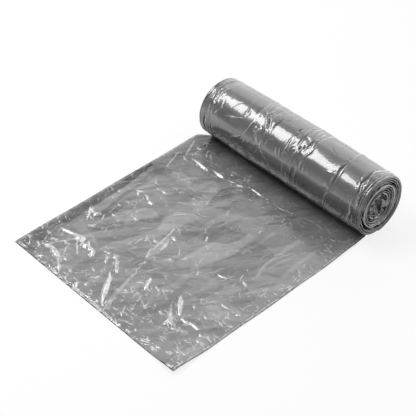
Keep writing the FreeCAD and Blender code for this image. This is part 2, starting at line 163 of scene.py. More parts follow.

# Bright shards of the sheet, painted as highlights: brightness, then outline; each rises like a low roof
SHEET_GLINTS = [
    (0.85, [(-109, -41), (-103, -40.5), (-101, -42), (-107, -45)]),
    (0.45, [(-98, -36), (-95, -36), (-89, -45), (-91, -45)]),
    (0.35, [(-91, -38), (-88, -38), (-80, -46), (-83, -46)]),
    (0.8, [(-101, -57.5), (-92, -56.4), (-84, -55.6), (-75, -55), (-70, -60.4), (-80, -60.8), (-92, -59.8)]),
    (0.8, [(-91, -60), (-86, -61), (-80, -61.6), (-87, -63)]),
    (0.9, [(-72, -54.8), (-60, -52.6), (-52, -53), (-49, -56.8), (-58, -57.8), (-66, -56)]),
    (0.6, [(-110, -61), (-103, -62.4), (-96, -65), (-104, -64.6)]),
    (0.7, [(-34, -52.4), (-30, -48.8), (-25, -50), (-31, -54)]),
    (0.75, [(-22, -47.4), (-14, -46), (-6, -46), (1, -47.4), (-4, -49), (-14, -48.4)]),
    (0.7, [(3, -45.2), (9, -47), (4, -47.8)]), (0.35, [(-103, -71), (-96, -71.6), (-99, -74)]),
    (0.6, [(-120, -36), (-117, -37), (-107, -58), (-109, -60)]),
    (0.55, [(-117, -62), (-115, -62), (-106, -88), (-108, -88)]),
    (0.55, [(-102, -106), (-99, -109), (-89, -115.4), (-95, -115)]),
    (0.75, [(-83, -115.6), (-76, -116), (-70, -117.4), (-76, -118.6)]),
    (0.45, [(-91, -117), (-85, -118), (-83, -120)]),
    (0.95, [(-101, -136), (-96, -132.6), (-92, -132.6), (-93.6, -137), (-90, -141.4), (-95, -138.4)]),
    (0.85, [(-90, -134.4), (-84, -133.4), (-77, -138), (-83, -137)]),
    (0.8, [(-79, -136.6), (-72, -137.2), (-69, -139.8), (-76, -139.8)]),
    (0.6, [(-100, -162.4), (-90, -163), (-95, -165)]),
    (0.35, [(-96, -166), (-94, -166), (-92, -180), (-94, -180)]),
    (1.0, [(-114, -187.4), (-104, -189), (-98, -185), (-95, -187), (-99, -194), (-106, -191.6), (-100, -200),
        (-104, -198.6), (-110, -192.6)]),
    (0.8, [(-95, -183), (-92, -185), (-89, -192), (-92, -190)]),
    (0.7, [(-114, -147.4), (-109, -149), (-109, -151.6), (-113, -151)]),
    (0.75, [(-29, -145), (-26.4, -147), (-24.4, -156), (-27, -153)]),
    (0.75, [(-21, -154), (-14, -156.4), (-12, -158.4), (-18, -158.6)]),
    (0.5, [(-18, -165), (-12, -176), (-12.6, -180), (-18, -170)]),
    (0.45, [(-41, -179), (-39, -180), (-38, -191), (-40, -190)]),
    (0.5, [(-39, -174), (-33, -178), (-35, -180)]),
    (0.55, [(-23, -183), (-20, -186), (-14, -196), (-18, -194)]),
    (0.95, [(1.6, -127.6), (8.4, -135), (6.6, -137), (2.6, -132)]),
    (0.9, [(46, -160), (52, -157.6), (61, -154.6), (62.6, -156), (55, -159.6)]),
    (0.45, [(51, -155), (62, -152.4), (63, -153.6)]),
    (0.8, [(65.6, -140.6), (68, -142), (73, -152.6), (69.6, -149)]),
    (0.5, [(62, -133.4), (65, -133.6), (70, -138.6), (66, -136.6)]),
    (0.6, [(72, -147.6), (79, -148.6), (84, -152), (76, -150.4)]),
    (0.85, [(31, -169.4), (35, -170.6), (37.4, -174.4), (34, -174.6)]),
    (0.75, [(80, -182.8), (88, -183.6), (93, -184), (89, -186), (83, -185.2)]),
    (0.7, [(92, -184.4), (97, -182.6), (96, -184.8)]), (0.75, [(98, -182), (106, -184), (101, -185)]),
    (0.45, [(83, -198), (91, -200), (86, -200)]), (0.7, [(96, -198), (107, -198.4), (100, -200)]),
    (0.65, [(107, -147.6), (112, -149.4), (109, -151)]), (0.5, [(96, -150), (101, -150), (98, -152)]),
    (0.5, [(104, -161.4), (111, -162.6), (107, -164)]),
    (1.0, [(45.4, -203.4), (49, -206), (56, -214), (64.6, -223.6), (60, -221.6), (52, -215.8),
        (48.6, -210.6)]),
    (0.55, [(50, -218.6), (57, -225), (64.6, -231.4), (63, -233), (62, -239), (57, -232.4)]),
    (0.48, [(63.4, -235.8), (66, -234), (72, -233.6), (74.4, -238), (69.4, -238)]),
    (0.45, [(72.6, -236.4), (76, -235), (84, -234.4), (79, -238)]),
    (0.85, [(61, -239.4), (62, -237.4), (64.2, -238.2), (64.4, -240.4)]),
    (0.8, [(47.6, -205), (54.6, -209), (61.8, -218), (66.4, -224.6), (59.6, -221.4), (52.8, -215.6)]),
    (0.45, [(60, -231.6), (71, -232.6), (71, -238.6), (63, -237.6)]),
    (0.95, [(7.6, -208.6), (11, -209.6), (13.4, -214), (16.4, -220), (17.4, -227), (14, -223), (11.6, -219),
        (8.6, -215)]),
    (0.75, [(19, -212.4), (27, -214), (28, -215.8), (21, -214.8)]),
    (0.45, [(28, -216), (30, -217), (32, -224), (30, -222)]),
    (0.35, [(-7, -215), (-4, -223), (1, -239), (6, -254), (9, -261), (12, -271), (9.6, -271), (4.6, -262),
        (0, -250), (-4, -236), (-8, -222)]),
    (0.7, [(4, -259), (8, -261), (10, -268), (6, -265)]),
    (1.0, [(-27.4, -230.6), (-23, -233), (-14, -242), (-5, -252.6), (3, -266), (-1, -264.4), (-9, -258),
        (-15, -250.6), (-21, -240.6)]),
    (0.95, [(-39, -217), (-33, -216.6), (-26, -222.6), (-19.6, -229.8), (-26, -228), (-33, -221.4)]),
    (0.75, [(-47.4, -220.6), (-42, -221), (-36.6, -229), (-41, -227)]),
    (0.6, [(-42, -214), (-36.6, -212.6), (-34.6, -217), (-40, -217.6)]),
    (0.45, [(-53, -217.6), (-45, -215.4), (-44, -217), (-50, -219)]),
    (0.95, [(-113, -228), (-103, -225.6), (-92, -221.4), (-84, -219.6), (-78.6, -220), (-76, -225),
        (-77, -229.6), (-84, -227.6), (-95, -226), (-104, -229)]),
    (0.85, [(-75.4, -219.8), (-71, -221), (-66, -225.6), (-62.6, -229.6), (-66, -229.4), (-71.6, -224.6)]),
    (0.75, [(-62, -225.6), (-59, -226), (-56.6, -233.6), (-59.4, -233)]),
    (0.8, [(-90, -228), (-75, -225), (-63, -224.4), (-56, -225.6), (-53, -230.6), (-54.4, -235), (-59, -228.6),
        (-69, -228.8), (-80, -229.4)]),
    (0.8, [(-35, -222), (-31.6, -216), (-17.8, -229), (-21.4, -229.4)]),
    (0.6, [(-74, -227.4), (-66, -229), (-72, -230)]),
    (0.7, [(-86, -226.6), (-76, -232.6), (-65, -241), (-69, -239.6), (-78, -234.4)]),
    (0.55, [(-86, -235), (-83, -238), (-75, -252), (-78, -250), (-83, -242)]),
    (0.4, [(-96, -230), (-93, -232), (-89, -238), (-92, -236)]),
    (0.6, [(-106, -254), (-99, -250.4), (-90, -249.8), (-80, -252), (-75, -256.6), (-69, -261), (-61, -266.6),
        (-58, -269.4), (-66, -265.6), (-76, -260), (-84, -257.6), (-95, -255.4), (-101, -256)]),
    (0.7, [(-59, -255.4), (-50.6, -260.6), (-54, -260)]), (0.7, [(-56, -261.6), (-46, -270.6), (-51, -268)]),
    (0.8, [(-39, -264.6), (-34, -266), (-29, -270.4), (-34, -269)]),
    (0.7, [(-128, -255.6), (-121, -258.4), (-114, -260.4), (-122, -260)]),
    (0.5, [(-113, -255.4), (-107, -256.6), (-100, -260.6), (-106, -259)]),
    (0.8, [(-128, -238.4), (-123, -240), (-121, -242.6), (-126, -241.6)]),
    (0.8, [(-119, -239), (-114, -240), (-110, -239.6), (-110, -242.8), (-115, -242)]),
    (0.6, [(-127, -232.4), (-124, -234), (-118, -238.6), (-122, -237)]),
    (0.8, [(-129, -211), (-127.4, -216), (-122, -223.4), (-125, -222), (-128.4, -217)]),
    (0.85, [(66, -223.8), (76, -223.4), (77, -225.4), (70, -225.8)]),
    (0.8, [(77, -221), (91, -221), (92, -223.6), (84, -223.4), (79, -224.4)]),
    (0.75, [(92, -224), (96, -225), (102, -225), (98, -228)]),
    (0.8, [(101, -220.6), (106, -223), (111, -223), (110, -225), (104, -224.6)]),
    (0.5, [(61, -203.6), (67, -204.6), (71.6, -208), (65, -206)]),
    (0.45, [(97, -231.6), (109, -233), (110, -235), (100, -233.6)]),
    (0.5, [(98, -252.6), (107, -253), (107.6, -255), (100, -254.4)]),
    (0.4, [(102, -254), (104, -254), (103.6, -263), (102, -262)]),
    (0.9, [(19.6, -252), (22, -252.6), (26.6, -260), (23.6, -258)]),
    (0.55, [(29, -230), (33, -234), (37, -243.6), (34, -241), (32, -235)]),
    (0.5, [(19, -231), (21, -232), (25, -240), (22.6, -239)]),
    (0.45, [(23, -241), (25, -242), (29, -251), (27, -250)]),
    (0.45, [(13, -231), (15, -232), (19, -241), (17, -240)]), (0.6, [(-126, -67), (-123, -70), (-126, -71)]),
    (0.5, [(-127, -73), (-119, -79.4), (-124, -78)]), (0.6, [(-128, -82), (-122, -84), (-126, -85.4)]),
    (0.75, [(88, -44), (92, -41.6), (98, -41.6), (95, -43.6)]),
    (0.5, [(76, -32), (80, -34), (90, -39.4), (86, -39), (80, -36)]),
    (0.45, [(64, -34.6), (70, -36), (78, -40), (72, -39)]), (0.45, [(80, -45), (85, -47), (82, -48)]),
    (0.4, [(74, -51), (79, -55.4), (76, -55)]), (0.45, [(35, -48), (37, -50), (41, -60), (38, -57)]),
    (0.5, [(33, -85), (35, -86), (37, -90.6), (34, -89)]),
    (0.45, [(103, -84), (108, -86), (110, -89), (105, -88)]),
    (0.4, [(111, -121), (113.4, -124), (112, -127)]),
]

# Thin crease lines of the sheet, with painted highlights along their crests: brightness, then route
SHEET_GLINT_LINES = [
    (0.6, [(-51, -57), (-43, -55.6), (-33, -52)]), (0.5, [(-30, -50), (-23, -55)]),
    (0.65, [(7, -45.6), (24, -47), (37, -45), (52, -40)]), (0.6, [(-26, -50), (-20, -47), (-10, -47)]),
    (0.6, [(50, -41), (60, -37), (72, -37)]), (0.35, [(-96, -50), (-80, -47), (-66, -45)]),
    (0.3, [(-60, -44), (-44, -42), (-30, -40)]), (0.35, [(-104, -46), (-101, -52), (-102, -58)]),
    (0.35, [(-14, -48), (-8, -53), (-5, -57)]), (0.3, [(-116, -84), (-112, -87)]),
    (0.3, [(-92, -35), (-84, -34)]), (0.9, [(-79, -19), (-62, -19.6), (-44, -20.6), (-20, -21)]),
    (0.3, [(70, -20.4), (86, -22), (102, -23)]), (0.35, [(-108, -30), (-106, -34), (-103, -38)]),
    (0.3, [(-99, -37), (-92, -35), (-86, -36)]), (0.3, [(-82, -107), (-72, -104), (-66, -107), (-60, -100)]),
    (0.25, [(-68, -136), (-63, -137)]), (0.3, [(-84, -140), (-82, -148)]),
    (0.3, [(-86, -178), (-76, -180), (-70, -184)]),
    (0.45, [(-28, -145), (-26, -156), (-22, -170), (-20, -190)]),
    (0.4, [(-20, -157), (-15, -162), (-10, -167)]),
    (0.35, [(-24, -166), (-19, -163), (-14, -170), (-16, -178), (-21, -176)]),
    (0.35, [(-14, -196), (-10, -210), (-8, -222)]), (0.5, [(-7, -123), (0, -130)]),
    (0.4, [(9, -137), (14, -141), (20, -143)]), (0.3, [(20, -143), (26, -145)]),
    (0.4, [(22, -164), (26, -166), (31, -170)]), (0.25, [(37, -171), (44, -172), (52, -174)]),
    (0.4, [(-6, -160), (0, -165), (8, -174)]), (0.35, [(23, -152), (24, -160), (29, -166)]),
    (0.3, [(62, -157), (68, -151)]), (0.3, [(69, -151), (72, -166)]), (0.35, [(78, -172), (81, -174)]),
    (0.3, [(79, -158), (84, -164), (89, -168)]), (0.25, [(84, -164), (92, -150), (98, -149)]),
    (0.3, [(99, -170), (103, -178)]), (0.3, [(104, -162), (101, -168), (99, -176)]),
    (0.4, [(14, -226), (18, -228)]), (0.3, [(5, -236), (10, -235), (16, -238)]),
    (0.3, [(0, -210), (6, -212)]), (0.3, [(-30, -203), (-24, -206), (-25, -210), (-20, -212)]),
    (0.35, [(-12, -210), (-6, -216), (-4, -226)]), (0.3, [(-34, -233), (-30, -238)]),
    (0.25, [(-30, -246), (-27, -252)]), (0.3, [(-102, -263), (-106, -265)]),
    (0.35, [(-98, -267), (-90, -269)]), (0.35, [(-103, -231), (-99, -238)]),
    (0.4, [(-110, -220), (-104, -221)]), (0.3, [(-76, -265), (-70, -267)]),
    (0.35, [(-76, -252), (-64, -254)]), (0.3, [(-90, -262), (-78, -269)]), (0.3, [(80, -206), (87, -208)]),
    (0.3, [(97, -239), (106, -241)]), (0.3, [(86, -231), (88, -238)]), (0.35, [(90, -262), (98, -259)]),
    (0.25, [(72, -233), (82, -233)]), (0.25, [(70, -246), (80, -254)]), (0.35, [(42, -204), (44, -205)]),
    (0.3, [(62, -242), (63, -249)]), (0.3, [(92, -186), (97, -192)]),
    (0.3, [(14, -198), (18, -196), (20, -199)]), (0.3, [(36, -206), (32, -212), (31, -218)]),
    (0.35, [(-122, -200), (-117, -205), (-114, -212)]), (0.3, [(-128, -150), (-121, -152), (-118, -156)]),
    (0.3, [(-127, -176), (-121, -181), (-117, -186)]), (0.35, [(-119, -172), (-112, -178)]),
    (0.3, [(-123, -103), (-121, -108), (-123, -113)]), (0.35, [(-126, -124), (-121, -122), (-118, -128)]),
    (0.3, [(-128, -140), (-123, -137), (-121, -133)]), (0.3, [(-126, -192), (-121, -190)]),
    (0.35, [(-110, -104), (-106, -116), (-109, -122)]), (0.3, [(-105, -120), (-109, -130), (-107, -136)]),
    (0.3, [(-121, -222), (-116, -225)]), (0.3, [(-128, -246), (-120, -247)]),
    (0.25, [(-60, -156), (-52, -148)]), (0.25, [(44, -158), (40, -168)]), (0.25, [(104, -104), (108, -118)]),
    (0.3, [(108, -104), (110, -116)]), (0.25, [(-64, -64), (-68, -74)]), (0.25, [(46, -66), (50, -69)]),
    (0.3, [(60, -66), (70, -68)]), (0.25, [(0, -70), (3, -73)]), (0.25, [(26, -60), (34, -68)]),
    (0.25, [(-30, -68), (-27, -60)]),
]

# Creases on the roll: height (below zero for a groove), tone change (a painted highlight along the crest,
# below zero painted shade in the groove), then the route as millimetres along it and degrees round it,
# where 0 is the back, 90 the top and 180 the front
ROLL_LINES = [
    (-0.8, -0.2, [(-105, 30), (-104, 60), (-105, 90), (-105, 120), (-103.5, 132), (-103, 144)]),
    (0.5, 0.15, [(-104, 20), (-103, 58), (-103, 88), (-103.4, 110)]),
    (0.7, 0.35, [(-102, 118), (-101, 133), (-98.4, 137), (-97, 127), (-96, 118)]),
    (0.5, 0.3, [(-104, 138), (-102.4, 146), (-104, 150)]),
    (-1.0, -0.25, [(-105.6, 150), (-106.2, 165), (-106.8, 190), (-106, 208), (-104, 235)]),
    (0.5, 0.15, [(-103.4, 160), (-104, 185), (-103, 215)]), (0.4, 0.12, [(-98, 178), (-97, 195), (-99, 220)]),
    (0.5, 0.3, [(-87.6, 134), (-91, 144), (-94, 156)]), (-0.4, -0.06, [(-95, 172), (-95.4, 186), (-94, 205)]),
    (-0.35, -0.06, [(-69, 106), (-74, 118), (-78.6, 128)]),
    (-0.35, -0.05, [(-55, 108), (-53.6, 120), (-54.6, 129), (-58, 132)]),
    (0.45, 0.28, [(-81, 146.4), (-70, 140), (-62, 135.6), (-55, 129)]),
    (0.4, 0.14, [(-47, 52), (-46, 75), (-45.4, 98), (-44, 112)]),
    (0.35, 0.12, [(-42, 56), (-42.6, 80), (-41.6, 104)]),
    (-0.5, -0.12, [(-48.4, 90), (-47.8, 106), (-46, 116)]),
    (0.7, 0.4, [(-43.2, 122), (-44, 132), (-45.6, 143), (-48.4, 156)]),
    (0.45, 0.16, [(-48.4, 156), (-52, 163), (-58, 170), (-66, 176)]),
    (0.35, 0.12, [(-38.4, 50), (-37.6, 72), (-35.6, 90)]), (0.5, 0.25, [(-40, 96), (-37, 101), (-34, 108)]),
    (1.1, 0.3, [(-31, 101), (-27, 109), (-22.6, 119), (-20, 127)]),
    (-1.0, -0.25, [(-33, 104), (-29, 113), (-25.4, 122), (-23.4, 130)]),
    (1.2, 0.4, [(-36, 106), (-31.6, 113), (-27, 123), (-23.4, 132)]),
    (-0.6, -0.15, [(-30, 107), (-25.6, 114), (-21.4, 122)]),
    (0.5, 0.28, [(-24, 130), (-23, 145), (-24, 157), (-20, 166), (-12, 176), (-4, 190)]),
    (0.4, 0.16, [(-32, 140), (-29, 152), (-23, 162)]), (0.4, 0.2, [(-40, 142), (-36, 141), (-30, 139)]),
    (0.4, 0.2, [(-17.4, 138), (-16.4, 147), (-16, 154)]), (0.3, 0.12, [(-36, 150), (-38, 162), (-42, 172)]),
    (0.3, 0.1, [(-44, 158), (-45, 170), (-50, 180)]), (0.3, 0.1, [(-25, 164), (-27, 174), (-32, 184)]),
    (-0.6, -0.2, [(-18, 88), (-18.6, 108), (-18.6, 131)]), (0.4, 0.15, [(-20, 50), (-19, 74), (-18, 90)]),
    (-0.4, -0.1, [(-8, 84), (-12, 90), (-16, 98)]), (0.4, 0.22, [(-4, 143), (-1, 149), (0, 157)]),
    (0.4, 0.22, [(1, 138), (3, 147), (5.4, 156)]), (0.5, 0.3, [(8, 134), (6.6, 141), (6, 149)]),
    (0.6, 0.35, [(13.6, 126), (12, 132), (10.6, 139)]), (-0.7, -0.2, [(6.6, 88), (7, 102), (8.4, 113)]),
    (0.4, 0.18, [(13.4, 56), (14, 72), (13, 84)]),
    (-0.6, -0.18, [(15.4, 86), (16.6, 100), (17.6, 114), (18, 124)]),
    (0.6, 0.28, [(18, 44), (18.4, 66), (19, 84), (21, 98)]), (0.5, 0.22, [(23, 62), (24, 78), (27, 92)]),
    (0.6, 0.3, [(17.6, 98), (22, 99), (26, 102.6), (29, 107)]),
    (-0.7, -0.2, [(20.6, 118), (22, 124), (23, 131)]), (-0.8, -0.22, [(24.4, 112), (25.6, 121), (24.4, 131)]),
    (0.5, 0.2, [(27, 66), (29, 80), (31, 90)]),
    (-0.8, -0.22, [(27.6, 90), (28.4, 106), (28, 120), (29, 130)]),
    (0.6, 0.3, [(30.6, 100), (32.4, 108), (33.4, 114)]), (-0.5, -0.15, [(31, 92), (33, 104), (35, 112)]),
    (0.6, 0.32, [(33.4, 40), (33.6, 62), (34, 80), (33, 93)]), (0.6, 0.35, [(35, 118), (33, 126), (31, 136)]),
    (-0.7, -0.2, [(36.4, 112), (36, 121), (34.4, 131)]), (0.4, 0.2, [(19, 126), (20.4, 134), (19, 146)]),
    (0.4, 0.2, [(32.6, 138), (31, 146), (32, 154)]), (0.4, 0.16, [(35, 140), (37, 152), (36, 164)]),
    (-0.4, -0.08, [(24, 140), (25, 160), (23, 186), (24, 215)]),
    (0.4, 0.12, [(27, 144), (28.4, 166), (28, 196)]), (-0.4, -0.1, [(32, 158), (31.4, 176), (30, 196)]),
    (0.3, 0.1, [(9, 160), (12, 178), (10, 200)]), (0.3, 0.1, [(19, 160), (17, 180), (19, 205)]),
    (0.7, 0.28, [(70.6, 10), (71, 40), (71.4, 62), (73, 76), (74.6, 90)]),
    (-1.1, -0.28, [(71.6, 86), (72.6, 100), (73, 116), (75, 129), (74.4, 145)]),
    (0.7, 0.3, [(75, 106), (76.4, 118), (77, 128), (76, 140)]),
    (0.5, 0.28, [(70.6, 134), (71.4, 141), (72.4, 150)]),
    (0.5, 0.18, [(72, 156), (70.4, 172), (69, 190), (68, 225)]),
    (-0.4, -0.08, [(76, 90), (79, 84), (82, 80)]), (0.4, 0.22, [(62, 132), (66, 130), (71, 127)]),
    (0.8, 0.4, [(104.4, 40), (104.6, 66), (102.6, 78), (101.6, 88), (103.4, 101)]),
    (-1.1, -0.28, [(100, 70), (100.4, 96), (101.6, 118), (104, 130), (102, 148)]),
    (0.6, 0.25, [(98.6, -20), (99.6, 20), (102, 52)]),
    (0.6, 0.28, [(101, 144), (101.4, 158), (103, 174), (101, 190), (100, 225)]),
    (-0.5, -0.12, [(104.6, 144), (105.6, 160), (104.6, 190), (105, 225)]),
    (-0.9, -0.22, [(109, 60), (109.6, 96), (109, 122), (110, 140), (111, 165), (110, 200), (110.4, 235)]),
    (0.6, 0.28, [(108, 30), (107.6, 66), (108.4, 84)]), (0.5, 0.35, [(108, 138), (108.4, 148), (107, 158)]),
    (0.4, 0.1, [(107, 176), (106.6, 194), (107.4, 215)]),
    (-0.5, -0.16, [(112.2, -20), (112.5, 60), (112, 120), (112.6, 180), (112.2, 240)]),
    (0.4, 0.18, [(111, 64), (110.6, 105), (111.3, 150), (111, 200)]),
    (0.3, 0.18, [(113.7, 0), (113.8, 80), (113.6, 150), (113.8, 235)]),
    (-0.5, -0.16, [(-112.2, -40), (-112.6, 60), (-112, 120), (-112.4, 180), (-112.2, 240)]),
    (-0.6, -0.18, [(-107, -40), (-108.4, 0), (-107.6, 25)]), (-0.35, -0.06, [(44, 82), (50, 92), (60, 98)]),
    (0.3, 0.1, [(50, 20), (52, 44), (50, 66)]), (0.3, 0.1, [(-62, 10), (-64, 36), (-61, 62)]),
    (0.35, 0.1, [(-6, -10), (-5, 22), (-8, 50)]), (0.35, 0.1, [(86, 0), (88, 26), (85, 54)]),
    (0.35, 0.1, [(-84, -10), (-82, 24), (-85, 60)]),
]

# Flat facets on the roll, painted lighter or darker as light and shade, the brightest as highlights that
# also rise a little: tone change, then outline along it and round it
ROLL_LIGHT_AND_SHADE = [
    (0.3, [(-39.6, 141), (-38, 131), (-35, 133), (-36, 138)]),
    (0.22, [(-34.6, 134), (-31, 132), (-30, 139), (-33.6, 144)]),
    (0.24, [(-99.4, 139), (-96.6, 141), (-96.6, 158), (-98.6, 152)]),
    (0.3, [(107, 139), (109.4, 142), (109.4, 155), (107, 156)]),
    (0.05, [(-96, 156), (-74, 160), (-52, 166), (-60, 171), (-84, 170), (-97, 166)]),
    (0.05, [(-30, 142), (-25, 140), (-22, 156), (-26, 160)]),
    (0.2, [(-2.6, 144), (0, 147), (0.6, 155), (-2, 152)]),
    (0.06, [(40, 147), (60, 146), (70, 150), (70, 156), (52, 156), (40, 154)]),
    (0.06, [(78, 147), (98, 146), (99, 156), (80, 158)]),
    (0.14, [(66, 149), (70, 150), (69, 158), (66.6, 157)]),
    (-0.05, [(-94, 137), (-70, 148), (-56, 146), (-58, 156), (-90, 154)]),
    (0.05, [(4, 110), (18, 112), (16, 122), (6, 122)]),
]

# Areas of the sheet for its random creases: left, right, front and back
SHEET_AREAS = {
    "whole": (SHEET_LEFT, SHEET_RIGHT, SHEET_FRONT, SHEET_BACK),
    "front": (SHEET_LEFT, SHEET_RIGHT, SHEET_FRONT, -195),
    "left": (SHEET_LEFT, -20, SHEET_FRONT, SHEET_BACK),
    "lip": (SHEET_LEFT, SHEET_RIGHT, SHEET_FRONT, -260),
    "corner": (0, SHEET_RIGHT, SHEET_FRONT, -196),
    "side": (92, SHEET_RIGHT, SHEET_FRONT, -50),
    "seam": (-104, 64, -62, -42),
}

# Random creases of the sheet: brightness of the painted highlight on the crest, tone of the flank painted
# lighter or darker as light and shade, area, number and seed, then the ranges of length, half width,
# slope (below zero for a valley) and direction in degrees
SHEET_STRANDS = [
    (0.0, 0.03, "whole", 60, 38, (18, 70), (2.5, 6.0), (0.03, 0.16), (40, 100)),
    (0.0, -0.03, "whole", 50, 41, (14, 60), (2.0, 5.0), (-0.16, -0.03), (35, 100)),
    (0.55, 0.05, "left", 45, 39, (5, 20), (0.9, 1.6), (0.15, 0.45), (-60, 60)),
    (0.55, 0.05, "front", 55, 40, (4, 16), (0.9, 1.5), (0.15, 0.45), (-70, 70)),
    (0.45, 0.04, "whole", 45, 42, (7, 26), (0.9, 1.5), (0.15, 0.40), (40, 110)),
    (0.75, 0.05, "lip", 70, 45, (2, 10), (0.7, 1.1), (0.2, 0.5), (-35, 35)),
    (0.50, 0.05, "corner", 55, 46, (5, 20), (0.7, 1.1), (0.2, 0.5), (-38, 22)),
    (0.50, 0.05, "side", 45, 47, (3, 12), (0.7, 1.1), (0.2, 0.5), (-35, 30)),
    (0.60, 0.06, "seam", 60, 50, (2, 9), (0.7, 1.2), (0.2, 0.5), (-30, 30)),
]

# Gaps all round the ends, cut in and painted dark as shade: place in from the rim, sway and its wavelength,
# half width, strength
END_GAPS = [(6.2, 0.35, 30, 0.55, 1.0), (3.9, 0.3, 24, 0.35, 0.5), (10.6, 0.4, 24, 0.4, 0.45)]

# Strips of film crushed into the middle of the ends: name, side, route across, up and out of the
# floor, and width; then the floor's depth and how many points a strip has along and across it
CORE_TABS = [
    ("core_tab_a", 1, [(-7, 5, 1.0), (-3, 9, 2.4), (2, 9, 2.8), (6, 5, 1.6)], 4.0),
    ("core_tab_b", 1, [(6, 5, 0.8), (8, 1, 2.0), (8, -4, 1.8), (6, -7, 0.6)], 3.4),
    ("core_tab_c", -1, [(-6, -6, 0.8), (-1, -9, 2.0), (5, -7, 1.2)], 3.6),
]
CORE_FLOOR = 4.0
TAB_LENGTHWAYS = 28
TAB_ACROSS = 7

# Stretches of the roll where its film is crushed: middle and reach along it
ROLL_BUSY = [(-101, 7), (-32, 10), (20, 15), (73, 4), (104, 6)]

# Floor: its lift to white for the camera and in reflections, how pale it is to the camera, and a painted
# pool of light: how pale it is otherwise, near the object and far from it
FLOOR_LIFT = 0.80
FLOOR_MIRRORED = 0.30
FLOOR_SEEN = 0.24
FLOOR_NEAR = 0.80
FLOOR_FAR = 0.75

# Studio: brightness before the object, behind it, high behind it, and near the horizon
WORLD_LOW = 0.14
WORLD_MIDDLE = 0.45
WORLD_HIGH = 1.30
HORIZON_GLOW = 0.5

# Softbox: what it faces, then its direction and distance from there, its width and height in
# metres, and its brightness
KEY_TARGET = (0, -0.015, 0.06)
KEY_DIRECTION = (-0.545, -0.235, 0.805)
KEY_DISTANCE = 1.25
KEY_SIZE = (0.80, 0.44)
KEY_RADIANCE = 6.4

# Films: the sheet's, the roll's outer turn and the ends' edges. The tone mixes darker and colour;
# skin is the glossy coat; streaks stretch the clouding, and grain and veins are its strength and
# that of the fine crinkles, painted pale as highlights.
FILMS = {
    "film": dict(
        colour=(0.84, 0.84, 0.845), darker=(0.06, 0.06, 0.062), roughness=0.30, metal=0.1, body_gloss=0.10,
        skin_roughness=0.10, skin=0.65, streaks=(90, 14, 90), grain=0.10, veins=0.55),
    "film_wound": dict(
        colour=(0.80, 0.80, 0.805), darker=(0.03, 0.03, 0.032), roughness=0.24, metal=0.2, body_gloss=0.5,
        skin_roughness=0.06, skin=1.0, streaks=(500, 50, 50), grain=0.10, veins=0.20),
    "film_edges": dict(
        colour=(0.80, 0.80, 0.805), darker=(0.012, 0.012, 0.013), roughness=0.28, metal=0.3, body_gloss=0.5,
        skin_roughness=0.08, skin=1.0, streaks=(60, 60, 60), grain=0.10, veins=0.05),
}


def smooth_step(low, high, value):
    """A smooth change from 0 at low to 1 at high."""
    t = np.clip((value - low) / (high - low), 0.0, 1.0)
    return t * t * (3 - 2 * t)


def soft_noise(x, y, wavelength, seed):
    """Smooth random waves with a spread of about one."""
    random = np.random.default_rng(seed)
    total = np.zeros(np.broadcast(x, y).shape)
    for _ in range(WAVES):
        turn = random.uniform(0, 2 * math.pi)
        pace = 2 * math.pi / (wavelength * random.uniform(0.7, 1.5))
        total += np.cos(pace * (x * math.cos(turn) + y * math.sin(turn)) + random.uniform(0, 2 * math.pi))
    return total / math.sqrt(WAVES / 2)


def line_noise(along, wavelength, seed):
    """Smooth random waves along one line."""
    return soft_noise(along, along * 0, wavelength, seed)


def facets(x, y, spacing, seed, stretch=1.0, turn=0.0):
    """Crumpled relief of flat triangles between scattered points, and a random value for each."""
    random = np.random.default_rng(seed)
    angle = math.radians(turn)
    u = (x * math.cos(angle) + y * math.sin(angle)) / stretch
    v = -x * math.sin(angle) + y * math.cos(angle)
    wide = np.arange(u.min() - 2 * spacing, u.max() + 2 * spacing, spacing)
    tall = np.arange(v.min() - 2 * spacing, v.max() + 2 * spacing, spacing)
    grid = np.stack(np.meshgrid(wide, tall), axis=-1).reshape(-1, 2)
    grid += random.uniform(-0.42, 0.42, grid.shape) * spacing
    heights = random.uniform(-1, 1, len(grid))
    points, _, faces, origins, _, _ = delaunay_2d_cdt([Vector(p) for p in grid], [], [], 0, 1e-6)
    shape = [(p.x, p.y, heights[origin[0]]) for p, origin in zip(points, origins)]
    tree = BVHTree.FromPolygons(shape, faces)
    values = random.uniform(-1, 1, len(faces))
    down = Vector((0, 0, -1))
    found = [tree.ray_cast((a, b, 3.0), down) for a, b in zip(u.ravel(), v.ravel())]
    relief = np.array([hit[0].z if hit[0] else 0.0 for hit in found]).reshape(u.shape)
    value = np.array([values[hit[2]] if hit[0] else 0.0 for hit in found]).reshape(u.shape)
    return relief, value


def close_by(x, y, points, reach):
    """Which places lie within reach of the box round a route's points."""
    low, high = points.min(axis=0) - reach, points.max(axis=0) + reach
    return (x > low[0]) & (x < high[0]) & (y > low[1]) & (y < high[1])


